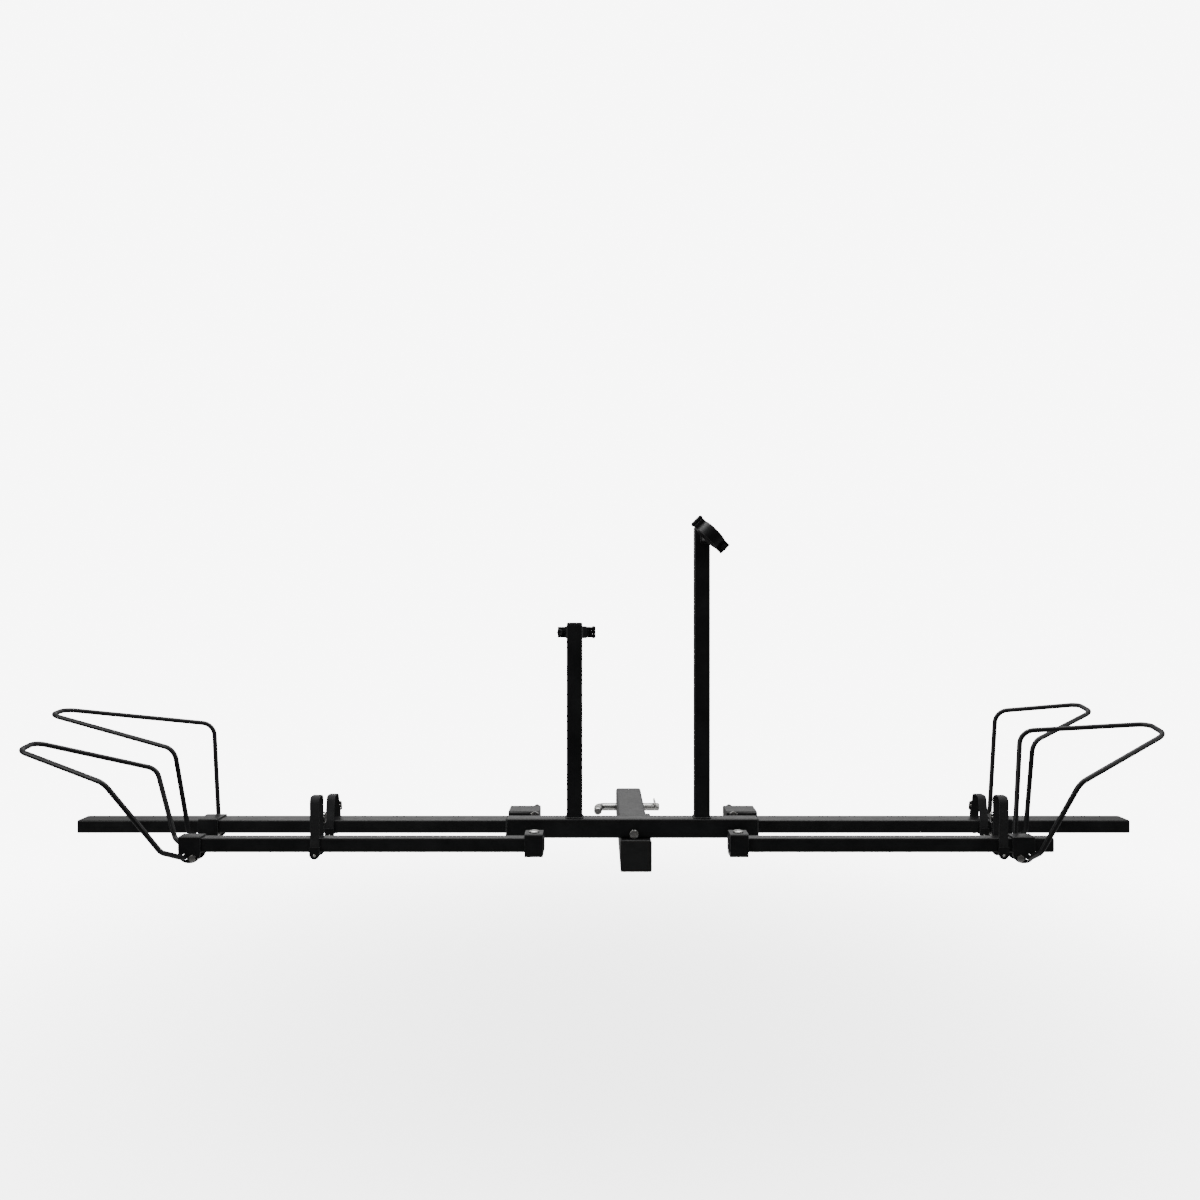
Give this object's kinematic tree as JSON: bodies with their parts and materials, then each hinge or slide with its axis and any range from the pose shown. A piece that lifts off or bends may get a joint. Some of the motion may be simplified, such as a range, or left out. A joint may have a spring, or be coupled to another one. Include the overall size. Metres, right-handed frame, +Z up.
{
  "type": "hitch mounted bike rack",
  "caption": "Receiver-hitch bicycle rack: square shank, crossbeam with frame-clamp uprights, and sliding arms with wheel hoops and tie-down straps.",
  "frame": {"origin": "on the underside of the shank, on its centre line, straight below the hitch-pin hole", "axes": "+X right for someone behind the vehicle, +Y towards the vehicle, +Z up"},
  "size_m": [1.8478, 0.6518, 0.5678],
  "materials": {
    "black_steel": "satin black powder coat",
    "black_plastic": "moulded black plastic",
    "black_rubber": "matt black rubber",
    "black_webbing": "woven black webbing",
    "zinc": "bright zinc plate"
  },
  "bodies": {
    "frame": {"hitch_shank": "black_steel", "shank_end_cap": "black_plastic", "beam_saddle": "black_steel", "crossbeam": "black_steel", "beam_bolt": "zinc", "side_bar_left": "black_steel", "near_sleeve_left": "black_steel", "far_sleeve_left": "black_steel", "upright_left": "black_steel", "clamp_arm_left": "black_steel", "upright_cap_left": "black_plastic", "near_sleeve_bolt_left": "zinc", "far_sleeve_bolt_left": "zinc", "side_bar_right": "black_steel", "near_sleeve_right": "black_steel", "far_sleeve_right": "black_steel", "upright_right": "black_steel", "clamp_arm_right": "black_steel", "upright_cap_right": "black_plastic", "near_sleeve_bolt_right": "zinc", "far_sleeve_bolt_right": "zinc"},
    "near_left_arm": {"near_arm_left": "black_steel", "near_arm_plug_left": "black_plastic"},
    "near_left_hoop": {"near_wheel_hoop_left": "black_steel", "near_hoop_bracket_left": "black_steel", "near_hoop_bolt_left": "zinc"},
    "near_left_strap": {"near_wheel_strap_left": "black_webbing"},
    "far_left_arm": {"far_arm_left": "black_steel", "far_arm_plug_left": "black_plastic"},
    "far_left_hoop": {"far_wheel_hoop_left": "black_steel", "far_hoop_bracket_left": "black_steel", "far_hoop_bolt_left": "zinc"},
    "far_left_strap": {"far_wheel_strap_left": "black_webbing"},
    "near_right_arm": {"near_arm_right": "black_steel", "near_arm_plug_right": "black_plastic"},
    "near_right_hoop": {"near_wheel_hoop_right": "black_steel", "near_hoop_bracket_right": "black_steel", "near_hoop_bolt_right": "zinc"},
    "near_right_strap": {"near_wheel_strap_right": "black_webbing"},
    "far_right_arm": {"far_arm_right": "black_steel", "far_arm_plug_right": "black_plastic"},
    "far_right_hoop": {"far_wheel_hoop_right": "black_steel", "far_hoop_bracket_right": "black_steel", "far_hoop_bolt_right": "zinc"},
    "far_right_strap": {"far_wheel_strap_right": "black_webbing"},
    "left_clamp": {"clamp_rear_jaw_left": "black_steel", "clamp_pad_left": "black_rubber", "clamp_hinge_pin_left": "black_steel"},
    "left_clamp_front": {"clamp_front_jaw_left": "black_steel", "clamp_bolt_left": "black_steel"},
    "left_clamp_knob": {"clamp_knob_left": "black_plastic"},
    "right_clamp": {"clamp_rear_jaw_right": "black_steel", "clamp_pad_right": "black_rubber", "clamp_hinge_pin_right": "black_steel"},
    "right_clamp_front": {"clamp_front_jaw_right": "black_steel", "clamp_bolt_right": "black_steel"},
    "right_clamp_knob": {"clamp_knob_right": "black_plastic"},
    "hitch_pin": {"hitch_pin": "zinc"},
    "hitch_pin_clip": {"hitch_pin_clip": "zinc"}
  },
  "joints": [
    {"name": "near_left_arm_slide", "type": "slide", "parent": "frame", "child": "near_left_arm", "axis": [-1, 0, 0], "range_m": [-0.11, 0]},
    {"name": "near_left_hoop_slide", "type": "slide", "parent": "near_left_arm", "child": "near_left_hoop", "axis": [-1, 0, 0], "range_m": [-0.15, 0]},
    {"name": "near_left_strap_slide", "type": "slide", "parent": "near_left_arm", "child": "near_left_strap", "axis": [-1, 0, 0], "range_m": [-0.2, 0.15]},
    {"name": "far_left_arm_slide", "type": "slide", "parent": "frame", "child": "far_left_arm", "axis": [-1, 0, 0], "range_m": [-0.08, 0.035]},
    {"name": "far_left_hoop_slide", "type": "slide", "parent": "far_left_arm", "child": "far_left_hoop", "axis": [-1, 0, 0], "range_m": [-0.17, 0.18]},
    {"name": "far_left_strap_slide", "type": "slide", "parent": "far_left_arm", "child": "far_left_strap", "axis": [-1, 0, 0], "range_m": [-0.21, 0.17]},
    {"name": "near_right_arm_slide", "type": "slide", "parent": "frame", "child": "near_right_arm", "axis": [1, 0, 0], "range_m": [-0.11, 0]},
    {"name": "near_right_hoop_slide", "type": "slide", "parent": "near_right_arm", "child": "near_right_hoop", "axis": [1, 0, 0], "range_m": [-0.003, 0.02]},
    {"name": "near_right_strap_slide", "type": "slide", "parent": "near_right_arm", "child": "near_right_strap", "axis": [1, 0, 0], "range_m": [-0.255, 0.003]},
    {"name": "far_right_arm_slide", "type": "slide", "parent": "frame", "child": "far_right_arm", "axis": [1, 0, 0], "range_m": [-0.08, 0.035]},
    {"name": "far_right_hoop_slide", "type": "slide", "parent": "far_right_arm", "child": "far_right_hoop", "axis": [1, 0, 0], "range_m": [-0.003, 0.19]},
    {"name": "far_right_strap_slide", "type": "slide", "parent": "far_right_arm", "child": "far_right_strap", "axis": [1, 0, 0], "range_m": [-0.285, 0.003]},
    {"name": "left_clamp_swivel", "type": "hinge", "parent": "frame", "child": "left_clamp", "pos_m": [-0.0995, -0.2928, 0.3814], "axis": [0, 1, 0], "range_deg": [-60, 60]},
    {"name": "left_clamp_open", "type": "hinge", "parent": "left_clamp", "child": "left_clamp_front", "pos_m": [-0.0691, -0.2928, 0.3814], "axis": [0, 0, -1], "range_deg": [0, 100]},
    {"name": "left_clamp_knob_turn", "type": "hinge", "parent": "left_clamp", "child": "left_clamp_knob", "pos_m": [-0.127, -0.3028, 0.3814], "axis": [0, 1, 0], "continuous": true},
    {"name": "right_clamp_swivel", "type": "hinge", "parent": "frame", "child": "right_clamp", "pos_m": [0.113, -0.5023, 0.5374], "axis": [0, 1, 0], "range_deg": [-60, 60]},
    {"name": "right_clamp_open", "type": "hinge", "parent": "right_clamp", "child": "right_clamp_front", "pos_m": [0.0915, -0.5023, 0.5589], "axis": [-0.7071, 0, -0.7071], "range_deg": [0, 100]},
    {"name": "right_clamp_knob_turn", "type": "hinge", "parent": "right_clamp", "child": "right_clamp_knob", "pos_m": [0.13245, -0.4923, 0.51796], "axis": [0, 1, 0], "continuous": true},
    {"name": "hitch_pin_slide", "type": "slide", "parent": "frame", "child": "hitch_pin", "axis": [-1, 0, 0], "range_m": [0, 0.018]},
    {"name": "hitch_pin_clip_pull", "type": "slide", "parent": "hitch_pin", "child": "hitch_pin_clip", "axis": [0, -1, 0], "range_m": [0, 0.045]}
  ]
}
